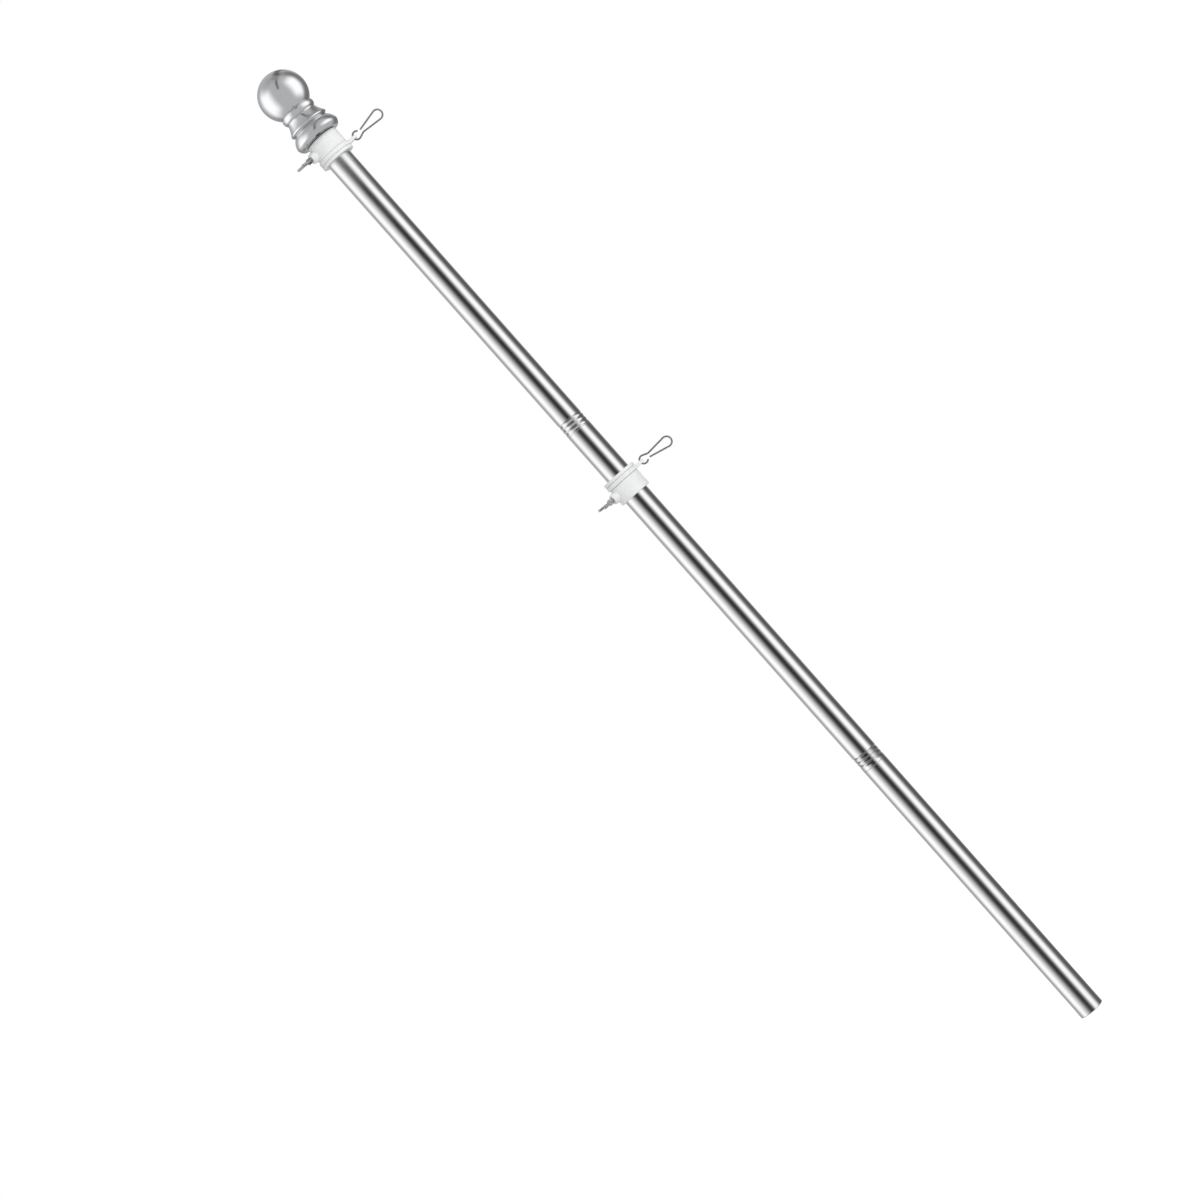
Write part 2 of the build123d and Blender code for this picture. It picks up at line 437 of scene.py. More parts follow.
class Sheet:
    """A node tree of a material or a group, with short ways to add and join nodes."""

    def __init__(self, tree: Tree) -> None:
        """Start on an empty tree."""
        self.tree = tree
        tree.nodes.clear()

    def add(self, kind: str, inputs: dict | None = None, **settings: object) -> Node:
        """Add a node.

        Args:
            kind: The node's type, without the ShaderNode before it.
            inputs: Values or sockets for its inputs, by name or number.
            settings: The node's own properties.

        Returns:
            The node.
        """
        prefix = "" if kind.startswith("NodeGroup") else "ShaderNode"
        node = self.tree.nodes.new(prefix + kind)
        for name, value in settings.items():
            setattr(node, name, value)
        for key, value in (inputs or {}).items():
            if isinstance(value, Socket):
                self.tree.links.new(value, node.inputs[key])
            else:
                node.inputs[key].default_value = value
        return node

    def math(self, operation: str, *values: object) -> Socket:
        """Add a Math node with its values, and give its output."""
        return self.add("Math", dict(enumerate(values)), operation=operation).outputs[0]

    def remap(self, value: Socket, band: Point, onto: Point = (0.0, 1.0)) -> Socket:
        """Stretch a value from one range to another, held at the ends."""
        inputs = {0: value, 1: band[0], 2: band[1], 3: onto[0], 4: onto[1]}
        return self.add("MapRange", inputs).outputs[0]

    def soft_step(self, value: Socket, edge: float, softness: float) -> Socket:
        """Rise smoothly from 0 to 1 round an edge, or fall where the softness is negative."""
        inputs = {0: value, 1: edge - softness / 2, 2: edge + softness / 2}
        return self.add("MapRange", inputs, interpolation_type="SMOOTHSTEP").outputs[0]

    def noise(self, vector: Socket, scale: float, detail: float = 3.0) -> Socket:
        """Add a noise texture, and give its value."""
        return self.add("TexNoise", {"Vector": vector, "Scale": scale, "Detail": detail}).outputs[0]

    def mix(self, share: object, first: object, second: object) -> Socket:
        """Mix two colours.

        Args:
            share: How much of the second colour there is, from 0 to 1, as a number or socket.
            first: The first colour, as a colour or socket.
            second: The second colour, as a colour or socket.

        Returns:
            The mixed colour.
        """
        node = self.add("Mix", {0: share}, data_type="RGBA")
        for socket, value in ((node.inputs[6], first), (node.inputs[7], second)):
            if isinstance(value, Socket):
                self.tree.links.new(value, socket)
            else:
                socket.default_value = (*value, 1)
        return node.outputs[2]

    def group(self, tree: Tree, inputs: dict) -> Node:
        """Add a shared group with its values."""
        return self.add("Group", inputs, node_tree=tree)


def shared_group(
    name: str, inputs: dict[str, tuple[str, float]], outputs: Sequence[str]
) -> tuple[Sheet, Node, Node]:
    """Start a shader node group.

    Args:
        name: The group's name.
        inputs: Kind (Vector or Float) and default of each input, by name.
        outputs: Names of its outputs, all numbers.

    Returns:
        The group's sheet, its input node and its output node.
    """
    tree = bpy.data.node_groups.new(name, "ShaderNodeTree")
    for title, (kind, default) in inputs.items():
        kind_of_socket = f"NodeSocket{kind}"
        socket = tree.interface.new_socket(name=title, in_out="INPUT", socket_type=kind_of_socket)
        if kind == "Float":
            socket.default_value = default
    for title in outputs:
        tree.interface.new_socket(name=title, in_out="OUTPUT", socket_type="NodeSocketFloat")
    sheet = Sheet(tree)
    return sheet, sheet.add("NodeGroupInput"), sheet.add("NodeGroupOutput")


class Effects:
    """The effects that several finishes share, each a node group built once.

    A band is the part of a noise's range over which its marks go from none to full.
    """

    SCRATCH_FINENESS = 0.31
    SCRATCH_BAND = (0.66, 0.72)
    SMUDGE_BAND = (0.42, 0.70)
    SPECKS_PER_SMUDGE = 14.0
    SPECK_BAND = (0.05, 0.12)

    def __init__(self) -> None:
        """Build the groups."""
        self.drawn_lines = self.make_drawn_lines()
        self.handling = self.make_handling()

    def make_drawn_lines(self) -> Tree:
        """Make fine lines along Z, as polishing belts and drawing dies leave.

        Returns:
            The group, with the lines and a few deeper scratches.
        """
        sheet, given, out = shared_group(
            "drawn_lines",
            {"Vector": ("Vector", 0), "Fineness": ("Float", 1), "Length": ("Float", 1)},
            ["Lines", "Scratches"],
        )
        spot, across, along = (given.outputs[title] for title in ("Vector", "Fineness", "Length"))
        stretch = sheet.add("CombineXYZ", {0: across, 1: across, 2: along}).outputs[0]
        fine = sheet.add("VectorMath", {0: spot, 1: stretch}, operation="MULTIPLY").outputs[0]
        lines = sheet.noise(fine, 1.0, 5.0)
        coarse = sheet.noise(fine, self.SCRATCH_FINENESS, 2.0)
        deep = sheet.remap(coarse, self.SCRATCH_BAND)
        sheet.tree.links.new(lines, out.inputs["Lines"])
        sheet.tree.links.new(deep, out.inputs["Scratches"])
        return sheet.tree

    def make_handling(self) -> Tree:
        """Make the smudges and specks that handling and dust leave.

        Returns:
            The group, with the smudges and the specks.
        """
        sheet, given, out = shared_group(
            "handling_marks",
            {"Vector": ("Vector", 0), "Scale": ("Float", 60)},
            ["Smudge", "Specks"],
        )
        spot, scale = given.outputs["Vector"], given.outputs["Scale"]
        cloudy = {"Scale": scale, "Detail": 4.0, "Roughness": 0.6, "Distortion": 0.6}
        broad = sheet.add("TexNoise", {"Vector": spot, **cloudy}).outputs[0]
        many = sheet.math("MULTIPLY", scale, self.SPECKS_PER_SMUDGE)
        specks = sheet.add("TexVoronoi", {"Vector": spot, "Scale": many}).outputs[0]
        sheet.tree.links.new(sheet.remap(broad, self.SMUDGE_BAND), out.inputs["Smudge"])
        dots = sheet.remap(specks, self.SPECK_BAND, (1.0, 0.0))
        sheet.tree.links.new(dots, out.inputs["Specks"])
        return sheet.tree


def new_material(name: str) -> Sheet:
    """Start a material.

    Args:
        name: The material's name.

    Returns:
        Its empty sheet.
    """
    material = bpy.data.materials.new(name)
    material.use_nodes = True
    return Sheet(material.node_tree)


@dataclass(frozen=True)
class MetalFinish:
    """A bare metal: drawn or polished lines, smudges, and painted shade in grooves and hollows.

    Fineness is in lines per metre across, length in breaks per metre along. Waves are the
    slow unevenness of a polished casting.
    """

    LINE_BAND = (0.3, 0.7)
    LINE_TONE = 0.97
    SMUDGE_SHARE = 0.05

    name: str
    colour: Colour
    smudge_and_shade_colour: Colour
    roughness: float
    roughness_spread: float
    fineness: float
    length: float
    line_height: float
    smudge_scale: float
    groove_shade_share: float = 0.6
    wave_height: float = 0.0
    wave_scale: float = 90.0

    def build(self, effects: Effects) -> Material:
        """Build the material.

        Args:
            effects: The shared groups.

        Returns:
            The material.
        """
        sheet = new_material(self.name)
        place_on = sheet.add("TexCoord").outputs["Object"]
        lines = sheet.group(
            effects.drawn_lines,
            {"Vector": place_on, "Fineness": self.fineness, "Length": self.length},
        )
        marks = sheet.group(effects.handling, {"Vector": place_on, "Scale": self.smudge_scale})
        # Painted shade: the groove mask marks threads and hollows to be darkened.
        groove = sheet.add("Attribute", attribute_name="groove").outputs["Fac"]
        smudge = marks.outputs["Smudge"]
        tone = sheet.mix(
            sheet.remap(lines.outputs["Lines"], self.LINE_BAND),
            tuple(self.LINE_TONE * part for part in self.colour),
            self.colour,
        )
        smudged = sheet.math("MULTIPLY", smudge, self.SMUDGE_SHARE)
        dulled = sheet.mix(smudged, tone, self.smudge_and_shade_colour)
        # Painted shade mixed into the colour of threads and hollows, as dark as the share says.
        painted_groove_shade = sheet.math("MULTIPLY", groove, self.groove_shade_share)
        base = sheet.mix(painted_groove_shade, dulled, self.smudge_and_shade_colour)
        rough = sheet.math("MULTIPLY_ADD", smudge, self.roughness_spread, self.roughness)
        rough = sheet.math("MULTIPLY_ADD", lines.outputs["Scratches"], self.roughness_spread, rough)
        waves = sheet.noise(place_on, self.wave_scale, 1.0)
        slow = sheet.add("Bump", {"Strength": 1.0, "Distance": self.wave_height, "Height": waves})
        heights = {"Height": lines.outputs["Lines"], "Normal": slow.outputs[0]}
        bump = sheet.add("Bump", {"Strength": 1.0, "Distance": self.line_height, **heights})
        shader = sheet.add(
            "BsdfPrincipled",
            {"Base Color": base, "Metallic": 1.0, "Roughness": rough, "Normal": bump.outputs[0]},
        )
        sheet.add("OutputMaterial", {"Surface": shader.outputs[0]})
        return bpy.data.materials[self.name]


@dataclass(frozen=True)
class PlasticFinish:
    """A moulded plastic: skin texture, flow marks, smudges and a little dust."""

    HANDLING_SCALE = 45.0
    FLOW_SCALE = 120.0
    FLOW_BAND = (0.35, 0.65)
    DUST_SHARE = 0.08
    DUST_COLOUR = (0.55, 0.54, 0.52)
    SMUDGE_ROUGHNESS = 0.10
    IOR = 1.53

    name: str
    colour: Colour
    flow_colour: Colour
    roughness: float
    skin_height: float
    skin_scale: float

    def build(self, effects: Effects) -> Material:
        """Build the material.

        Args:
            effects: The shared groups.

        Returns:
            The material.
        """
        sheet = new_material(self.name)
        place_on = sheet.add("TexCoord").outputs["Object"]
        marks = sheet.group(effects.handling, {"Vector": place_on, "Scale": self.HANDLING_SCALE})
        flow = sheet.remap(sheet.noise(place_on, self.FLOW_SCALE, 2.0), self.FLOW_BAND)
        base = sheet.mix(flow, self.colour, self.flow_colour)
        dust = sheet.math("MULTIPLY", marks.outputs["Specks"], self.DUST_SHARE)
        dusty = sheet.mix(dust, base, self.DUST_COLOUR)
        smudge = marks.outputs["Smudge"]
        rough = sheet.math("MULTIPLY_ADD", smudge, self.SMUDGE_ROUGHNESS, self.roughness)
        skin = sheet.noise(place_on, self.skin_scale, 3.0)
        bump = sheet.add("Bump", {"Strength": 1.0, "Distance": self.skin_height, "Height": skin})
        shader = sheet.add(
            "BsdfPrincipled",
            {
                "Base Color": dusty,
                "Roughness": rough,
                "IOR": self.IOR,
                "Normal": bump.outputs[0],
            },
        )
        sheet.add("OutputMaterial", {"Surface": shader.outputs[0]})
        return bpy.data.materials[self.name]


class Finishes:
    """All the finishes of the flagpole."""

    def __init__(self) -> None:
        """Build every material once."""
        effects = Effects()
        self.tube = MetalFinish(
            name="polished_tube_steel",
            colour=(0.86, 0.86, 0.87),
            smudge_and_shade_colour=(0.42, 0.41, 0.40),
            roughness=0.10,
            roughness_spread=0.05,
            fineness=5200.0,
            length=14.0,
            line_height=0.0000012,
            smudge_scale=22.0,
            groove_shade_share=0.15,
        ).build(effects)
        self.chrome = MetalFinish(
            name="plated_finial_chrome",
            colour=(0.84, 0.845, 0.86),
            smudge_and_shade_colour=(0.45, 0.45, 0.46),
            roughness=0.13,
            roughness_spread=0.05,
            fineness=900.0,
            length=900.0,
            line_height=0.0000015,
            smudge_scale=60.0,
            wave_height=0.00006,
            wave_scale=70.0,
        ).build(effects)
        self.wire = MetalFinish(
            name="drawn_spring_wire",
            colour=(0.49, 0.49, 0.50),
            smudge_and_shade_colour=(0.21, 0.20, 0.19),
            roughness=0.24,
            roughness_spread=0.12,
            fineness=4000.0,
            length=400.0,
            line_height=0.000003,
            smudge_scale=140.0,
        ).build(effects)
        self.cast = MetalFinish(
            name="tumbled_cast_zinc",
            colour=(0.68, 0.68, 0.69),
            smudge_and_shade_colour=(0.22, 0.21, 0.20),
            roughness=0.26,
            roughness_spread=0.14,
            fineness=2500.0,
            length=2500.0,
            line_height=0.000006,
            smudge_scale=160.0,
            wave_height=0.00005,
            wave_scale=320.0,
        ).build(effects)
        self.nylon = PlasticFinish(
            name="white_moulded_nylon",
            colour=(0.86, 0.865, 0.87),
            flow_colour=(0.82, 0.825, 0.83),
            roughness=0.32,
            skin_height=0.000002,
            skin_scale=1600.0,
        ).build(effects)
        self.plug = PlasticFinish(
            name="grey_moulded_plug",
            colour=(0.50, 0.51, 0.52),
            flow_colour=(0.46, 0.47, 0.48),
            roughness=0.45,
            skin_height=0.00004,
            skin_scale=1800.0,
        ).build(effects)


def dress(piece: Piece, material: Material, body: str, node: str, slot: Slot) -> None:
    """Give a new piece its finish and put it on its body in place of its node.

    Args:
        piece: The finished piece, in place.
        material: Its finish.
        body: The body that it moves with.
        node: The CAD node that it stands for.
        slot: The record's slot that its finish is; not used.
    """
    piece.data.materials.clear()
    piece.data.materials.append(material)
    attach(piece, body)
    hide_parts(node)
    log.info("%s: %d faces on %s", piece.name, len(piece.data.polygons), body)


# Sub-assemblies of the pole


@dataclass
class Pole:
    """The three screwed tube sections.

    The threads' starts are measured up from the seam below. They differ a little, as they
    do in the photograph. The bore narrows to the spigot's own between two heights below a
    seam, root and flare.
    """

    finishes: Finishes
    wall: float = 0.8 * MM
    clearance: float = 0.05 * MM
    edge: float = 0.3 * MM
    edge_steps: int = 4
    spigot: float = 22 * MM
    spigot_root: float = 2 * MM
    spigot_flare: float = 4 * MM
    segments: int = 144
    thread_pitch: float = 4.25 * MM
    thread_turns: int = 3
    thread_width: float = 4.25 * MM
    lower_thread: float = 5.0 * MM
    upper_thread: float = 3.4 * MM
    thread_depth: float = 0.4 * MM
    row_spacing: float = 0.16 * MM
    radius: float = field(init=False)

    def __post_init__(self) -> None:
        """Take the tube's radius from the frame."""
        self.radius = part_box("lower_tube")[1].x

    def thread_rows(self, foot: float, start: float) -> list[Corner]:
        """Give close rows up the wall where the rolled thread goes.

        Args:
            foot: The height of the section's foot.
            start: How far above the foot the thread starts.

        Returns:
            The rows' points on the outline.
        """
        reach = start + self.thread_pitch * self.thread_turns + self.thread_width
        count = int((reach - 2 * self.edge) / self.row_spacing)
        first = foot + 2 * self.edge
        return [(self.radius, first + row * self.row_spacing, 0) for row in range(1, count)]

    def section(self, name: str, node: str, top: float, thread_start: float, necked: bool) -> None:
        """Model one tube section.

        Args:
            name: The piece's name.
            node: The CAD node that it stands for.
            top: The height of its upper seam.
            thread_start: How far above its foot the rolled thread starts, or 0 for none.
            necked: Whether it has a spigot on top.
        """
        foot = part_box(node)[0].z
        bore = self.radius - self.wall
        corners = [(bore, foot, 0), (self.radius, foot, self.edge)]
        # Rows close to both ends keep the light even on the long wall between them
        corners.append((self.radius, foot + 2 * self.edge, 0))
        if thread_start:
            corners += self.thread_rows(foot, thread_start)
        corners += [(self.radius, top - 2 * self.edge, 0), (self.radius, top, self.edge)]
        if necked:
            inner = bore - self.clearance
            corners += [
                (inner, top, 0),
                (inner, top + self.spigot, self.edge),
                (inner - self.wall, top + self.spigot, 0),
                (inner - self.wall, top - self.spigot_root, 0),
                (bore, top - self.spigot_flare, 0),
            ]
        else:
            corners.append((bore, top, 0))
        piece = turn(name, rounded(corners, self.edge_steps), self.segments)
        if thread_start:
            helix = Helix(
                first=foot + thread_start,
                pitch=self.thread_pitch,
                turns=self.thread_turns,
                width=self.thread_width,
                depth=self.thread_depth,
                left_handed=True,
            )
            helix.press(piece, self.radius)
        dress(piece, self.finishes.tube, "pole", node, Slot.TUBE)

    def build(self) -> None:
        """Model the three sections."""
        lower_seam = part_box("middle_tube")[0].z
        upper_seam, top = (corner.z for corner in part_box("upper_tube"))
        self.section("lower_section", "lower_tube", lower_seam, 0, True)
        self.section("middle_section", "middle_tube", upper_seam, self.lower_thread, True)
        self.section("upper_section", "upper_tube", top, self.upper_thread, False)


@dataclass
class Finial:
    """The hollow ball and the turned ferrule below it. Heights are above the tube."""

    finishes: Finishes
    neck_radius: float = 16.8 * MM
    bead: Point = (17.8 * MM, 32.2 * MM)
    waist: Point = (16.1 * MM, 28.0 * MM)
    throat: Point = (16.1 * MM, 26.6 * MM)
    cove: Point = (17.98 * MM, 22.26 * MM)
    ridge: Point = (20.4 * MM, 17.5 * MM)
    ridge_width: float = 1.4 * MM
    ridge_crown: float = 0.15 * MM
    notch: Point = (18.2 * MM, 14.9 * MM)
    skirt: Point = (21.59 * MM, 11.28 * MM)
    shoulder: Point = (23.7 * MM, 6.8 * MM)
    rim: Point = (23.95 * MM, 5.1 * MM)
    under: Point = (23.5 * MM, 3.3 * MM)
    foot_bend: Point = (22.5 * MM, 1.51 * MM)
    foot_radius: float = 21.1 * MM
    stud_radius: float = 5.0 * MM
    hollow_reach: float = 0.9 * MM
    segments: int = 192

    def note_hollows(self, piece: Piece, hollows: Sequence[Point]) -> None:
        """Note on the mesh how near each point is to a sharp hollow, as a mask of painted shade.

        Args:
            piece: The turned piece.
            hollows: The hollows' places on the outline.
        """
        depths = []
        for point in piece.data.vertices:
            spot = Vector((hypot(point.co.x, point.co.y), point.co.z))
            nearest = min((spot - Vector(hollow)).length for hollow in hollows)
            depths.append(max(0.0, 1 - nearest / self.hollow_reach))
        # Nearness to a hollow is kept as a mask that the metal finish darkens: painted shade.
        painted_shade_mask = piece.data.attributes.new("groove", "FLOAT", "POINT")
        painted_shade_mask.data.foreach_set("value", depths)

    def ferrule(self) -> None:
        """Turn the ferrule."""
        low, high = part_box("finial_ferrule")
        foot = low.z
        upper = (self.bead, self.waist, self.throat, self.cove, self.ridge, self.notch)
        bead, waist, throat, cove, ridge, notch = ((r, foot + z) for r, z in upper)
        lower = (self.skirt, self.shoulder, self.rim, self.under, self.foot_bend)
        skirt, shoulder, rim, under, foot_bend = ((r, foot + z) for r, z in lower)
        neck = (self.neck_radius, high.z)
        base = (self.foot_radius, foot)
        crown = (ridge[0] + self.ridge_crown, ridge[1])
        ridge_low = (ridge[0], ridge[1] - self.ridge_width / 2)
        ridge_high = (ridge[0], ridge[1] + self.ridge_width / 2)
        outline = [
            (self.stud_radius, foot),
            *arc(base, foot_bend, under, 12)[:-1],
            *arc(under, rim, shoulder, 16)[:-1],
            *arc(shoulder, skirt, notch, 28),
            *arc(ridge_low, crown, ridge_high, 6),
            *arc(ridge_high, cove, throat, 16)[1:],
            *arc(waist, bead, neck, 20),
            (self.stud_radius, high.z),
            (self.stud_radius, foot),
        ]
        piece = turn("turned_ferrule", outline, self.segments)
        self.note_hollows(piece, (base, notch, waist, neck))
        dress(piece, self.finishes.chrome, "pole", "finial_ferrule", Slot.FINIAL)

    def ball(self) -> None:
        """Turn the ball, cut flat where it sits on the ferrule."""
        low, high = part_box("finial_ball")
        radius = high.x
        centre = high.z - radius
        side = (sqrt(radius**2 - (low.z - centre) ** 2), low.z)
        outline = [(0, low.z), *arc(side, (radius, centre), (0, high.z), 96)]
        piece = turn("finial_globe", outline, self.segments)
        self.note_hollows(piece, (side,))
        dress(piece, self.finishes.chrome, "pole", "finial_ball", Slot.FINIAL)

    def build(self) -> None:
        """Model the finial."""
        self.ferrule()
        self.ball()


@dataclass(frozen=True)
class CollarPart:
    """One modelled part of a collar, its finish, and what it is in the frame."""

    piece: Piece
    material: Material
    body: str
    node: str
    slot: Slot
    follows_screw: bool


@dataclass
class SwivelCollar:
    """A collar with its swivel ring, snap clip and wing screw.

    Each part is modelled once, with the flange on top and its outer face at height zero,
    and is then copied into place. Depths run down from that face; reaches run out from
    the axis of the pole.
    """

    finishes: Finishes
    height: float = 25.3 * MM
    body_radius: float = 16.4 * MM
    bore: float = 12.8 * MM
    neck_radius: float = 14.6 * MM
    flange_radius: float = 17.6 * MM
    flange_thickness: float = 3.4 * MM
    lip: float = 1.2 * MM
    ring_gap: float = 0.35 * MM
    ring_play: float = 0.12 * MM
    ring_thickness: float = 3.8 * MM
    clearance: float = 0.1 * MM
    edge: float = 0.9 * MM
    fine_edge: float = 0.25 * MM
    small_segments: int = 64
    drill_segments: int = 48
    lug_root: float = 16.1 * MM
    lug_root_radius: float = 4.4 * MM
    lug_reach: float = 23.2 * MM
    lug_radius: float = 2.9 * MM
    lug_thickness: float = 3.0 * MM
    lug_hole: float = 1.6 * MM
    lug_edge: float = 0.5 * MM
    wire_radius: float = 0.9 * MM
    eye_radius: float = 4.0 * MM
    eye_offset: float = 3.7 * MM
    eye_end: float = -38.0
    waist_reach: float = 6.8 * MM
    waist_rise: float = 1.7 * MM
    waist_round: float = 4.0 * MM
    loop_radius: float = 4.9 * MM
    loop_reach: float = 26.9 * MM
    loop_drop: float = 1.7 * MM
    gate_reach: float = 5.8 * MM
    gate_drop: float = 1.9 * MM
    screw_angle: float = radians(200)
    screw_depth: float = 15.3 * MM
    screw_radius: float = 2.0 * MM
    screw_clearance: float = 0.06 * MM
    screw_tip: float = 12.8 * MM
    screw_pitch: float = 0.8 * MM
    thread_depth: float = 0.35 * MM
    thread_rows: int = 10
    drill_start: float = 6 * MM
    boss_overlap: float = 1 * MM
    boss_radius: float = 6.3 * MM
    boss_reach: float = 21.4 * MM
    boss_draft: float = radians(12)
    hub_reach: float = 22.2 * MM
    hub_length: float = 4.3 * MM
    hub_radius: float = 2.9 * MM
    wing_root: Point = (25.4 * MM, 1.8 * MM)
    wing_root_radius: float = 2.3 * MM
    wing_tip: Point = (34.4 * MM, 8.0 * MM)
    wing_tip_radius: float = 1.8 * MM
    wing_thickness: float = 2.4 * MM
    wing_rounding: float = 0.72 * MM
    wing_turn: float = radians(-6)
    parts: list[CollarPart] = field(default_factory=list)

    @property
    def ring_depth(self) -> float:
        """The depth of the swivel ring's middle."""
        return self.flange_thickness + self.ring_gap + self.ring_thickness / 2

    @property
    def outward(self) -> Vector:
        """The direction in which the wing screw points."""
        return Vector((cos(self.screw_angle), sin(self.screw_angle), 0))

    @property
    def screw_frame(self) -> Matrix:
        """The wing screw's own frame: Z runs out along it and X runs up the pole."""
        up = Vector((0, 0, 1))
        turned = Matrix((up, self.outward.cross(up), self.outward)).transposed().to_4x4()
        return Matrix.Translation((0, 0, -self.screw_depth)) @ turned

    def body(self) -> CollarPart:
        """Model the fixed sleeve with its grip, neck and screw boss.

        Returns:
            The sleeve, a part of the collar.
        """
        grip = -(self.flange_thickness + 2 * self.ring_gap + self.ring_thickness)
        corners = [
            (self.bore, -self.height, self.fine_edge),
            (self.body_radius, -self.height, self.edge),
            (self.body_radius, grip, self.edge),
            (self.neck_radius, grip, 0),
            (self.neck_radius, -self.lip, 0),
            (self.bore, -self.lip, 0),
        ]
        piece = turn("collar_body", rounded(corners))
        inside = self.neck_radius - self.boss_overlap
        tip_radius = self.boss_radius - (self.boss_reach - self.neck_radius) * tan(self.boss_draft)
        boss_corners = [
            (0, inside, 0),
            (self.boss_radius, inside, 0),
            (tip_radius, self.boss_reach, self.edge),
            (0, self.boss_reach, 0),
        ]
        boss = turn("boss", rounded(boss_corners)[:-1], self.small_segments)
        fuse(piece, place(boss, self.screw_frame))
        hole = self.screw_radius + self.screw_clearance
        beyond = self.boss_reach + self.fine_edge
        flare = 2 * self.fine_edge
        drill_outline = [
            (0, self.drill_start),
            (hole, self.drill_start),
            (hole, beyond - flare),
            (hole + flare, beyond),
            (0, beyond),
        ]
        drill = turn("drill", drill_outline, self.drill_segments)
        cut(piece, place(drill, self.screw_frame))
        return CollarPart(piece, self.finishes.nylon, "collar", "clamp_body", Slot.COLLAR, True)

    def flange(self) -> CollarPart:
        """Model the loose flange that keeps the ring in place.

        Returns:
            The flange, a part of the collar.
        """
        recess = self.neck_radius + self.clearance / 2
        corners = [
            (self.bore, 0, self.fine_edge),
            (self.flange_radius, 0, self.edge),
            (self.flange_radius, -self.flange_thickness, self.edge),
            (recess, -self.flange_thickness, 0),
            (recess, -self.lip, 0),
            (self.bore, -self.lip, 0),
        ]
        piece = turn("collar_flange", rounded(corners))
        return CollarPart(piece, self.finishes.nylon, "collar", "end_flange", Slot.COLLAR, True)

    def ring(self) -> CollarPart:
        """Model the swivel ring with its drilled lug.

        Returns:
            The ring, a part of the collar.
        """
        inner = self.neck_radius + self.clearance
        half = self.ring_thickness / 2 + self.ring_gap - self.ring_play
        corners = [
            (inner, -half, self.fine_edge),
            (self.flange_radius, -half, self.edge),
            (self.flange_radius, half, self.edge),
            (inner, half, self.fine_edge),
        ]
        piece = turn("collar_ring", rounded(corners))
        root, tip = Vector((self.lug_root, 0, 0)), Vector((self.lug_reach, 0, 0))
        thickness = self.ring_thickness - self.clearance / 2
        lug = tapered_bar("lug", root, self.lug_root_radius, tip, self.lug_radius, thickness)
        start_shaping(lug)
        free_length = self.lug_reach + self.lug_radius - self.flange_radius
        slope = (thickness - self.lug_thickness) / 2 / free_length
        for side in (1, -1):
            bpy.ops.mesh.select_all(action="SELECT")
            bpy.ops.mesh.bisect(
                plane_co=(self.flange_radius, 0, side * thickness / 2),
                plane_no=(slope, 0, side),
                use_fill=True,
                clear_outer=True,
                threshold=MERGE,
            )
        stop_shaping()
        close_surface(lug)
        round_edges(lug, self.lug_edge)
        low, high = -2 * half, 2 * half
        keep_out = (self.neck_radius + self.flange_radius) / 2
        core = turn("core", [(0, low), (keep_out, low), (keep_out, high), (0, high)])
        cut(lug, core)
        hole = [(0, low), (self.lug_hole, low), (self.lug_hole, high), (0, high)]
        drill = turn("drill", hole, self.drill_segments)
        cut(lug, place(drill, Matrix.Translation(tip)))
        fuse(piece, lug)
        place(piece, Matrix.Translation((0, 0, -self.ring_depth)))
        return CollarPart(piece, self.finishes.nylon, "ring", "swivel_ring", Slot.COLLAR, False)

    @staticmethod
    def on_circle(centre: Point, radius: float, angle: float) -> Point:
        """Give the point of a circle at an angle in degrees."""
        return (centre[0] + radius * cos(radians(angle)), centre[1] + radius * sin(radians(angle)))

    @staticmethod
    def touch_angle(centre: Point, radius: float, outside: Point, side: int) -> float:
        """Give the angle on a circle where a line from an outside point touches it."""
        across, up = outside[0] - centre[0], outside[1] - centre[1]
        return degrees(atan2(up, across) + side * acos(radius / hypot(across, up)))

    def swing(
        self, centre: Point, radius: float, first: float, last: float, steps: int
    ) -> list[Point]:
        """Give points along a circle from one angle to another, both in degrees."""
        angles = [first + (last - first) * step / steps for step in range(steps + 1)]
        return [self.on_circle(centre, radius, angle) for angle in angles]

    def wire_path(self) -> list[Point]:
        """Give the wire's centre line: eye, waist, loop and free gate.

        Returns:
            Its points of (reach, height), from the eye's end to the gate's tip.
        """
        eye = (self.lug_reach + self.eye_offset, -self.ring_depth)
        waist = (eye[0] + self.waist_reach, eye[1] + self.waist_rise)
        loop = (eye[0] + self.loop_reach, eye[1] - self.loop_drop)
        tip = (eye[0] + self.gate_reach, eye[1] - self.gate_drop)
        leave = self.touch_angle(eye, self.eye_radius, waist, 1) - 360
        enter = self.touch_angle(loop, self.loop_radius, waist, -1)
        depart = self.touch_angle(loop, self.loop_radius, tip, 1)
        path = self.swing(eye, self.eye_radius, self.eye_end, leave, 64)
        bend_out = self.on_circle(loop, self.loop_radius, enter)
        bend = rounded([(*path[-1], 0), (*waist, self.waist_round), (*bend_out, 0)], 10)
        return [*path, *bend[1:-2], *self.swing(loop, self.loop_radius, enter, depart, 56), tip]

    def clip(self) -> CollarPart:
        """Bend the wire clip along its path.

        Returns:
            The clip, a part of the collar.
        """
        wire = trace("clip_wire", self.wire_path())
        stop_shaping()
        bpy.ops.object.convert(target="CURVE")
        wire.data.bevel_depth = self.wire_radius
        wire.data.bevel_resolution = 6
        wire.data.use_fill_caps = True
        bpy.ops.object.convert(target="MESH")
        close_surface(wire)
        round_edges(wire, self.fine_edge, 3)
        return CollarPart(wire, self.finishes.wire, "clip", "snap_clip", Slot.WIRE, False)

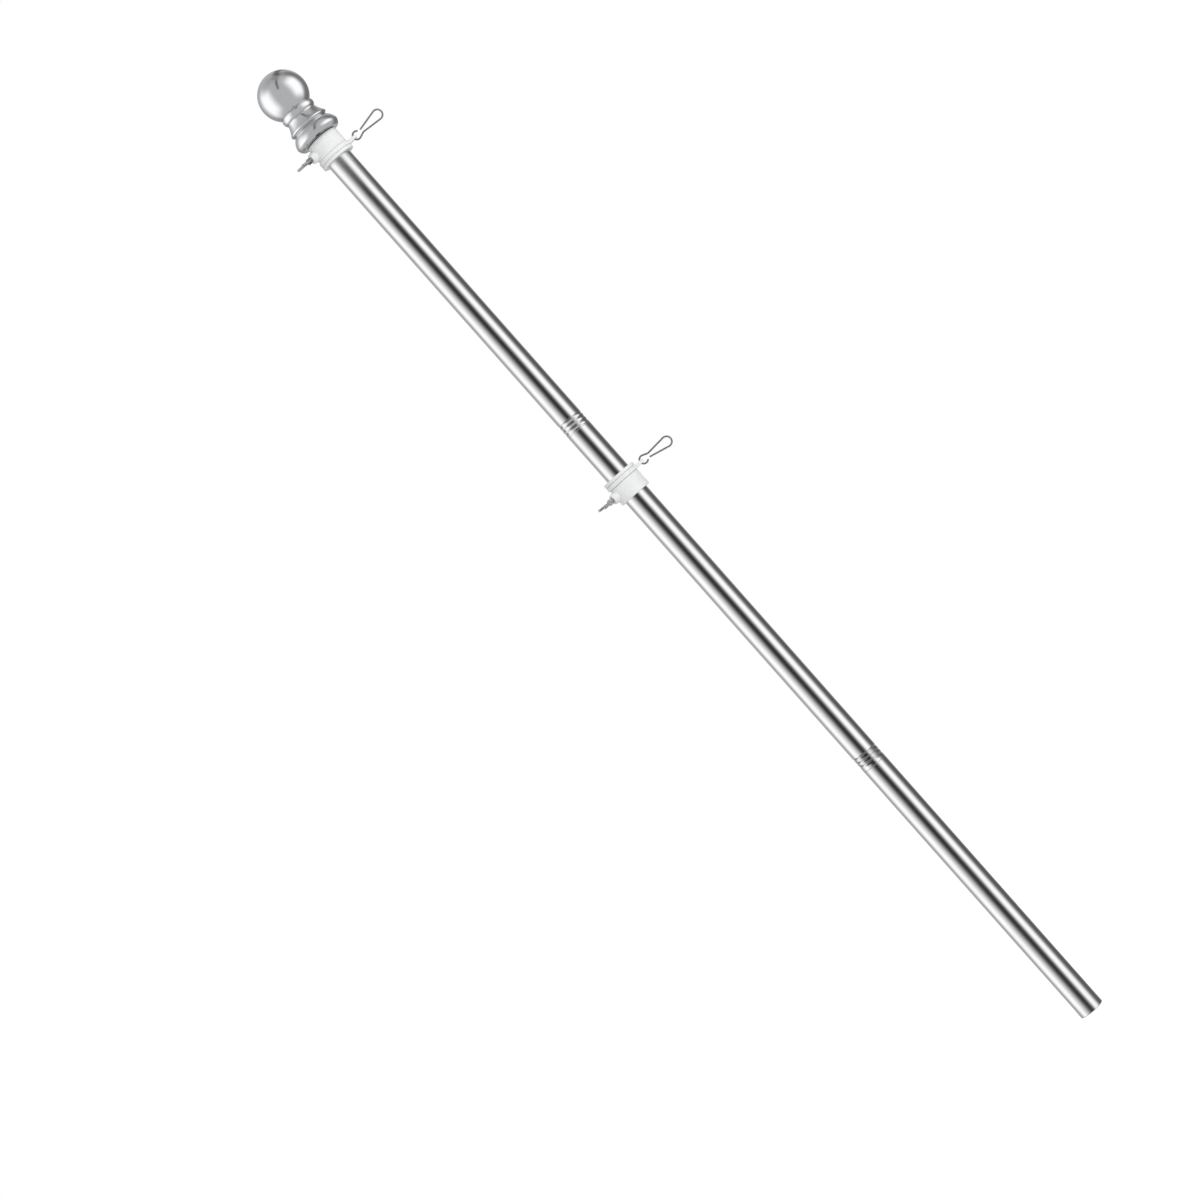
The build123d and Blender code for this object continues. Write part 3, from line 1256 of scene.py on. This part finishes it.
    def shank(self) -> Piece:
        """Turn the screw's shank and press its thread into it.

        Returns:
            The shank, standing on the origin's Z axis.
        """
        chamfer = self.thread_depth
        step = self.screw_pitch / self.thread_rows
        rows = int((self.hub_reach - self.screw_tip) / step)
        outline = [(0, self.screw_tip), (self.screw_radius - chamfer, self.screw_tip)]
        outline += [
            (self.screw_radius, self.screw_tip + chamfer + row * step) for row in range(rows)
        ]
        outline.append((0, outline[-1][1]))
        piece = turn("wing_screw_cast", outline, self.drill_segments)
        thread = Helix(
            first=self.screw_tip + self.screw_pitch,
            pitch=self.screw_pitch,
            turns=(self.hub_reach - self.screw_tip) / self.screw_pitch - 1,
            width=self.screw_pitch,
            depth=self.thread_depth,
        )
        thread.press(piece, self.screw_radius)
        close_surface(piece)
        return piece

    def screw(self) -> CollarPart:
        """Model the wing screw: threaded shank, hub and two cast wings.

        Returns:
            The screw, a part of the collar.
        """
        top = self.hub_reach + self.hub_length
        hub_corners = [
            (0, self.hub_reach, 0),
            (self.hub_radius, self.hub_reach, 2 * self.fine_edge),
            (self.hub_radius, top, self.edge),
            (0, top, 0),
        ]
        hub = turn("hub", rounded(hub_corners)[:-1], self.small_segments)
        root, tip = Vector((*self.wing_root, 0)), Vector((*self.wing_tip, 0))
        ends = (root, self.wing_root_radius, tip, self.wing_tip_radius)
        wing = tapered_bar("wing", *ends, self.wing_thickness)
        round_edges(wing, self.wing_rounding, 5)
        close_surface(wing)
        flat = Matrix(((0, 0, 1, 0), (0, -1, 0, 0), (1, 0, 0, 0), (0, 0, 0, 1)))
        place(wing, Matrix.Rotation(self.wing_turn, 4, "Z") @ flat)
        other = copy_of(wing, "other_wing")
        place(other, Matrix.Rotation(pi, 4, "Z"))
        fuse(hub, wing)
        fuse(hub, other)
        piece = self.shank()
        fuse(piece, hub)
        place(piece, self.screw_frame)
        return CollarPart(piece, self.finishes.cast, "screw", "wing_screw", Slot.WIRE, True)

    def build(self) -> None:
        """Model the collar's five parts once."""
        self.parts = [self.body(), self.flange(), self.ring(), self.clip(), self.screw()]

    def fit(self, name: str, way: Way) -> None:
        """Copy the parts of a collar into place and dress them.

        Args:
            name: Which collar it is, as its nodes' names begin.
            way: Which way it faces.
        """
        low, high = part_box(f"{name}_end_flange")
        for part in self.parts:
            frame = Matrix.Translation((0, 0, high.z))
            if way is Way.TURNED_OVER:
                hinge = self.outward if part.follows_screw else Vector((1, 0, 0))
                frame = Matrix.Translation((0, 0, low.z)) @ Matrix.Rotation(pi, 4, hinge)
            piece = copy_of(part.piece, f"{name}_{part.piece.name}")
            place(piece, frame)
            close_surface(piece)
            dress(piece, part.material, f"{name}_{part.body}", f"{name}_{part.node}", part.slot)

    def put_away(self) -> None:
        """Remove the parts that the copies were made from."""
        for part in self.parts:
            bpy.data.objects.remove(part.piece)
        self.parts.clear()


@dataclass
class ButtPlug:
    """The hollow plug that closes the butt end of the lower section."""

    finishes: Finishes
    head: float = 2.0 * MM
    wall: float = 2.0 * MM
    edge: float = 0.4 * MM
    dimple_radius: float = 1.6 * MM
    dimple_depth: float = 0.3 * MM
    dimple_edge: float = 0.1 * MM

    def build(self) -> None:
        """Turn the plug, with the small dimple of its moulding gate in the middle."""
        low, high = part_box("butt_plug")
        corners = [
            (0, self.dimple_depth, 0),
            (self.dimple_radius, self.dimple_depth, self.dimple_edge),
            (self.dimple_radius, 0, self.dimple_edge),
            (high.x, 0, self.edge),
            (high.x, high.z - low.z, self.edge),
            (high.x - self.wall, high.z - low.z, 0),
            (high.x - self.wall, self.head, self.edge),
            (0, self.head, 0),
        ]
        piece = turn("butt_end_plug", rounded(corners)[:-1])
        place(piece, Matrix.Translation((0, 0, low.z)))
        dress(piece, self.finishes.plug, "pole", "butt_plug", Slot.PLUG)


# Studio


@dataclass(frozen=True)
class Surround:
    """A wall of light and dark round the pole that only polished surfaces see."""

    name: str
    strength: float = 1.2

    def paint(self, wall: Piece, tone: Callable[[Sheet], Socket]) -> None:
        """Give a wall its light, and hide it from all but reflections.

        Args:
            wall: The wall's mesh.
            tone: Adds the nodes that give the brightness in each direction.
        """
        wall.name = self.name
        sheet = new_material(self.name)
        glow = sheet.add("Emission", {0: tone(sheet), 1: self.strength})
        sheet.add("OutputMaterial", {"Surface": glow.outputs[0]})
        material = bpy.data.materials[self.name]
        material.cycles.emission_sampling = "NONE"
        wall.data.materials.append(material)
        wall.visible_camera = wall.visible_diffuse = wall.visible_shadow = False
        wall.visible_transmission = wall.visible_volume_scatter = False

    @staticmethod
    def azimuth(sheet: Sheet, parts: Node) -> Socket:
        """Give the azimuth in degrees, from the camera's side towards the clips' side."""
        behind = sheet.math("MULTIPLY", parts.outputs[1], -1.0)
        return sheet.math("DEGREES", sheet.math("ARCTAN2", parts.outputs[0], behind))


@dataclass(frozen=True)
class PanelWall:
    """A wide round wall whose brightness changes with the azimuth.

    Stops are (azimuth in degrees from the camera's side towards +X, brightness). What is
    plain in the pole mirrors the wall between its level heights, and what slopes, such as
    the flanks of a thread, mirrors the steep parts above and, behind a haze, below.
    """

    name: str
    radius: float
    bottom: float
    top: float
    level: Point
    blend: float
    haze: float
    haze_tone: float
    level_stops: Sequence[Point]
    steep_stops: Sequence[Point]
    sides: int = 256

    @staticmethod
    def ramp(sheet: Sheet, share: Socket, stops: Sequence[Point]) -> Socket:
        """Add a ramp of brightness round the pole.

        Args:
            sheet: The wall's sheet.
            share: The azimuth as a share of the way round.
            stops: Its stops.

        Returns:
            Its colour.
        """
        ramp = sheet.add("ValToRGB", {0: share})
        marks = ramp.color_ramp.elements
        marks.remove(marks[-1])
        for index, (angle, brightness) in enumerate(stops):
            where = angle / 360 + 0.5
            mark = marks[0] if index == 0 else marks.new(where)
            mark.position = where
            mark.color = (brightness, brightness, brightness, 1)
        return ramp.outputs[0]

    def tone(self, sheet: Sheet) -> Socket:
        """Add the nodes that give the brightness in each direction.

        Args:
            sheet: The wall's sheet.

        Returns:
            The brightness, as a grey.
        """
        parts = sheet.add("SeparateXYZ", {0: sheet.add("TexCoord").outputs["Object"]})
        share = sheet.remap(Surround.azimuth(sheet, parts), (-180.0, 180.0))
        low, high = self.level
        above = sheet.soft_step(parts.outputs[2], high, self.blend)
        below = sheet.soft_step(parts.outputs[2], low, -self.blend)
        level_tone = self.ramp(sheet, share, self.level_stops)
        steep_tone = self.ramp(sheet, share, self.steep_stops)
        hazy_tone = sheet.mix(self.haze, steep_tone, (self.haze_tone,) * 3)
        return sheet.mix(below, sheet.mix(above, level_tone, steep_tone), hazy_tone)

    def build(self) -> None:
        """Put the wall up round the pole."""
        deselect_all()
        bpy.ops.mesh.primitive_cylinder_add(
            vertices=self.sides,
            radius=self.radius,
            depth=self.top - self.bottom,
            end_fill_type="NOTHING",
            location=(0, 0, (self.top + self.bottom) / 2),
        )
        bpy.ops.object.transform_apply(location=True)
        Surround(self.name).paint(bpy.context.object, self.tone)


@dataclass(frozen=True)
class Panel:
    """A soft-edged panel on a canopy, between two azimuths and two elevations in degrees.

    Its upright edges are as soft as softness says, the other two as fade says. It leans
    sideways by lean degrees for each degree that it rises.
    """

    left: float
    right: float
    low: float
    high: float
    brightness: float
    softness: float
    fade: float
    lean: float = 0.0


@dataclass(frozen=True)
class Strip:
    """A soft straight strip on a canopy, between two elevations in degrees.

    It runs along the plane through the finial that is square to across, and is as wide as
    width says, in degrees.
    """

    across: Place
    low: float
    high: float
    brightness: float
    width: float
    softness: float
    fade: float


# What the tubes mirror when level, and what their steep flanks mirror: stops of (azimuth
# in degrees from the camera's side towards +X, brightness)
LEVEL_STOPS: Sequence[Point] = (
    (-180, 0.435), (-132, 0.37), (-118, 0.39), (-98, 0.90), (-84, 0.99), (-70, 0.94),
    (-43, 0.49), (-25, 0.15), (-11, 0.03), (3, 0.03), (14, 0.142), (23, 0.43),
    (33, 0.87), (46, 0.99), (60, 0.90), (72, 0.47), (86, 0.165), (104, 0.08),
    (134, 0.12), (150, 0.38), (180, 0.41),
)
STEEP_STOPS: Sequence[Point] = (
    (-180, 0.36), (-145, 0.28), (-128, 0.16), (-113, 0.17), (-102, 0.36), (-93, 0.6),
    (-83, 0.84), (-75, 0.76), (-67, 0.5), (-58, 0.2), (-50, 0.07), (-42, 0.03),
    (-30, 0.04), (-8, 0.02), (5, 0.02), (11, 0.08), (18, 0.25), (25, 0.55),
    (33, 0.78), (41, 0.78), (48, 0.64), (57, 0.4), (67, 0.17), (78, 0.06),
    (98, 0.045), (112, 0.09), (125, 0.17), (150, 0.3), (180, 0.36),
)

# What the finial mirrors: two wide bright panels, the darker sides behind them, the dim
# ceiling and its corner on the right, and the dark ground near the pole
CANOPY_PANELS: Sequence[Panel] = (
    Panel(-125, -49, -32, 48, 1.0, 42, 34),
    Panel(45, 109, -34, 33, 1.0, 38, 30),
    Panel(-169, -113, -90, 10, 0.24, 41, 121),
    Panel(114, 158, -90, 8, 0.16, 24, 16),
    Panel(112, 155, 0, 50, 0.17, 36, 24, -0.5),
    Panel(-190, 190, 77, 100, 0.29, 20, 51),
    Panel(34, 125, 60, 88, 0.25, 30, 16),
    Panel(100, 150, 53, 70, 0.09, 40, 16),
    Panel(-135, -87, -95, -51, 0.19, 11, 11),
    Panel(98, 135, -95, -1, 0.16, 34, 64),
    Panel(-190, 190, -95, -66, 0.09, 9, 5),
    Panel(-12, 10, -95, -62, 0.03, 9, 5),
)
CANOPY_STRIP = Strip((-0.943, 0.131, 0.306), 27, 65, 0.12, 9.5, 7, 12)


@dataclass(frozen=True)
class Canopy:
    """A wide backdrop over the pole that the finial mirrors, with panels on a grey ground.

    A flat cone rises outwards from the pole's top, above all that the plain tubes mirror,
    and a vault closes it overhead. Rims are the cone's points, and middle is the height in
    the finial that the panels' directions are taken from.
    """

    name: str
    middle: float
    rims: Sequence[Point]
    ground: float
    panels: Sequence[Panel]
    strip: Strip
    sides: int = 128
    vault_steps: int = 32

    def tone(self, sheet: Sheet) -> Socket:
        """Add the nodes that give the brightness in each direction.

        Args:
            sheet: The canopy's sheet.

        Returns:
            The brightness, as a grey.
        """
        spot = sheet.add("TexCoord").outputs["Object"]
        level = sheet.add("VectorMath", {0: spot, 1: (0, 0, self.middle)}, operation="SUBTRACT")
        way = sheet.add("VectorMath", {0: level.outputs[0]}, operation="NORMALIZE")
        parts = sheet.add("SeparateXYZ", {0: way.outputs[0]})
        azimuth = Surround.azimuth(sheet, parts)
        elevation = sheet.math("DEGREES", sheet.math("ARCSINE", parts.outputs[2]))
        tone = (self.ground,) * 3
        for panel in self.panels:
            rise = sheet.math("SUBTRACT", elevation, panel.low)
            upright = sheet.math("SUBTRACT", azimuth, sheet.math("MULTIPLY", rise, panel.lean))
            share = sheet.math(
                "MULTIPLY",
                self.between(sheet, upright, (panel.left, panel.right), panel.softness),
                self.between(sheet, elevation, (panel.low, panel.high), panel.fade),
            )
            tone = sheet.mix(share, tone, (panel.brightness,) * 3)
        strip, half = self.strip, self.strip.width / 2
        off = sheet.add("VectorMath", {0: way.outputs[0], 1: strip.across}, operation="DOT_PRODUCT")
        aside = sheet.math("DEGREES", sheet.math("ARCSINE", off.outputs["Value"]))
        share = sheet.math(
            "MULTIPLY",
            self.between(sheet, aside, (-half, half), strip.softness),
            self.between(sheet, elevation, (strip.low, strip.high), strip.fade),
        )
        return sheet.mix(share, tone, (strip.brightness,) * 3)

    @staticmethod
    def between(sheet: Sheet, value: Socket, ends: Point, softness: float) -> Socket:
        """Give 1 between two values, and fall softly to 0 past each."""
        above = sheet.soft_step(value, ends[0], softness)
        return sheet.math("MULTIPLY", above, sheet.soft_step(value, ends[1], -softness))

    def build(self) -> None:
        """Put the canopy up over the pole."""
        reach, height = self.rims[-1]
        radius = hypot(reach, height - self.middle)
        first = atan2(height - self.middle, reach)
        middle = (first + pi / 2) / 2
        over = (radius * cos(middle), self.middle + radius * sin(middle))
        vault = arc(self.rims[-1], over, (0.0, self.middle + radius), self.vault_steps)
        canopy = turn(self.name, [*self.rims[:-1], *vault], self.sides)
        Surround(self.name).paint(canopy, self.tone)


@dataclass(frozen=True)
class Lamp:
    """A soft square lamp that faces the middle of the pole."""

    name: str
    stand: Place
    size: float
    power: float
    aim: Place = (0, 0, 0.6)

    def hang(self) -> None:
        """Hang the lamp."""
        deselect_all()
        bpy.ops.object.light_add(type="AREA", location=self.stand)
        lamp = bpy.context.object
        lamp.name = self.name
        lamp.data.size = self.size
        lamp.data.energy = self.power
        towards = Vector(self.aim) - lamp.location
        lamp.rotation_euler = towards.to_track_quat("-Z", "Y").to_euler()
        lamp.visible_glossy = False


@dataclass
class Studio:
    """The pale floor, the lamps, the panels that the metal mirrors, and the camera.

    The camera's place is from the photograph: its scale at the pole in metres per pixel,
    the direction up the pole in the picture, right and down, and the point of the pole's
    plane in the middle of the picture.
    """

    image_size: int = 1200
    scale: float = 0.9304 * MM
    distance: float = 3.0
    up_the_pole: Point = (-0.66277, -0.74882)
    aim: Vector = field(default_factory=lambda: Vector((-0.0903, 0.0, 0.5883)))
    sensor: float = 36.0
    clip: Point = (0.01, 50)
    floor_radius: float = 6.0
    floor_gap: float = 0.3 * MM
    floor_grey: float = 0.88
    floor_glow: float = 0.5
    room_light: float = 0.62

    def floor(self) -> None:
        """Lay the white floor that the butt stands on."""
        deselect_all()
        bpy.ops.mesh.primitive_circle_add(
            vertices=96, radius=self.floor_radius, fill_type="NGON"
        )
        floor = bpy.context.object
        floor.name = "floor"
        floor.location.z = -self.floor_gap
        sheet = new_material("white_floor")
        eye = sheet.add("LightPath").outputs["Is Camera Ray"]
        matt = sheet.add("BsdfDiffuse", {"Color": (*(self.floor_grey,) * 3, 1)})
        glow = sheet.add("Emission", {"Strength": sheet.math("MULTIPLY", eye, self.floor_glow)})
        both = sheet.add("AddShader", {0: matt.outputs[0], 1: glow.outputs[0]})
        sheet.add("OutputMaterial", {"Surface": both.outputs[0]})
        floor.data.materials.append(bpy.data.materials["white_floor"])
        floor.visible_glossy = False

    def world(self) -> None:
        """Make the backdrop white, and the room's soft light a little dimmer."""
        world = bpy.data.worlds.new("studio")
        bpy.context.scene.world = world
        world.use_nodes = True
        sheet = Sheet(world.node_tree)
        path = sheet.add("LightPath")
        seen = sheet.math("MAXIMUM", path.outputs["Is Camera Ray"], path.outputs["Is Glossy Ray"])
        seen = sheet.math("MAXIMUM", seen, path.outputs["Is Transmission Ray"])
        strength = sheet.remap(seen, (0.0, 1.0), (self.room_light, 1.0))
        back = sheet.add("Background", {"Color": (1, 1, 1, 1), "Strength": strength})
        sheet.add("OutputWorld", {"Surface": back.outputs[0]})

    def camera(self) -> None:
        """Set the camera up as in the photograph: level with the pole, and rolled."""
        across, down = self.up_the_pole
        up = Vector((-across, 0, -down))
        back = Vector((0, -1, 0))
        right = up.cross(back)
        turned = Matrix((right, up, back)).transposed().to_4x4()
        bpy.ops.object.camera_add()
        camera = bpy.context.object
        camera.name = "camera"
        camera.matrix_world = Matrix.Translation(self.aim + back * self.distance) @ turned
        camera.data.sensor_width = self.sensor
        camera.data.lens = self.sensor * self.distance / (self.image_size * self.scale)
        camera.data.clip_start, camera.data.clip_end = self.clip
        bpy.context.scene.camera = camera

    def build(self) -> None:
        """Set everything up."""
        self.floor()
        self.world()
        Lamp("key_lamp", (1.6, -1.8, 1.9), 1.6, 30.0).hang()
        Lamp("fill_lamp", (-1.8, -1.6, 0.9), 1.6, 8.0).hang()
        PanelWall(
            name="panel_wall",
            radius=20.0,
            bottom=-36.0,
            top=38.0,
            level=(-4.5, 5.0),
            blend=0.6,
            haze=0.32,
            haze_tone=0.344,
            level_stops=LEVEL_STOPS,
            steep_stops=STEEP_STOPS,
        ).build()
        Canopy(
            name="panel_canopy",
            middle=1.125,
            rims=((0.0203, 1.0635), (0.065, 1.0645), (2.0, 1.375)),
            ground=0.42,
            panels=CANOPY_PANELS,
            strip=CANOPY_STRIP,
        ).build()
        self.camera()


def main() -> None:
    """Dress the flagpole piece by piece, and set up the studio."""
    logging.basicConfig(level=logging.INFO, format="%(message)s")
    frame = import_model()
    finishes = Finishes()
    for slot in frame["nodes"]["finial_stud"].material_slots:
        slot.material = finishes.tube
    Pole(finishes).build()
    ButtPlug(finishes).build()
    Finial(finishes).build()
    collar = SwivelCollar(finishes)
    collar.build()
    collar.fit("upper", Way.TURNED_OVER)
    collar.fit("lower", Way.UPRIGHT)
    collar.put_away()
    Studio().build()
    bpy.context.scene.view_settings.view_transform = "Standard"


if __name__ == "__main__":
    main()
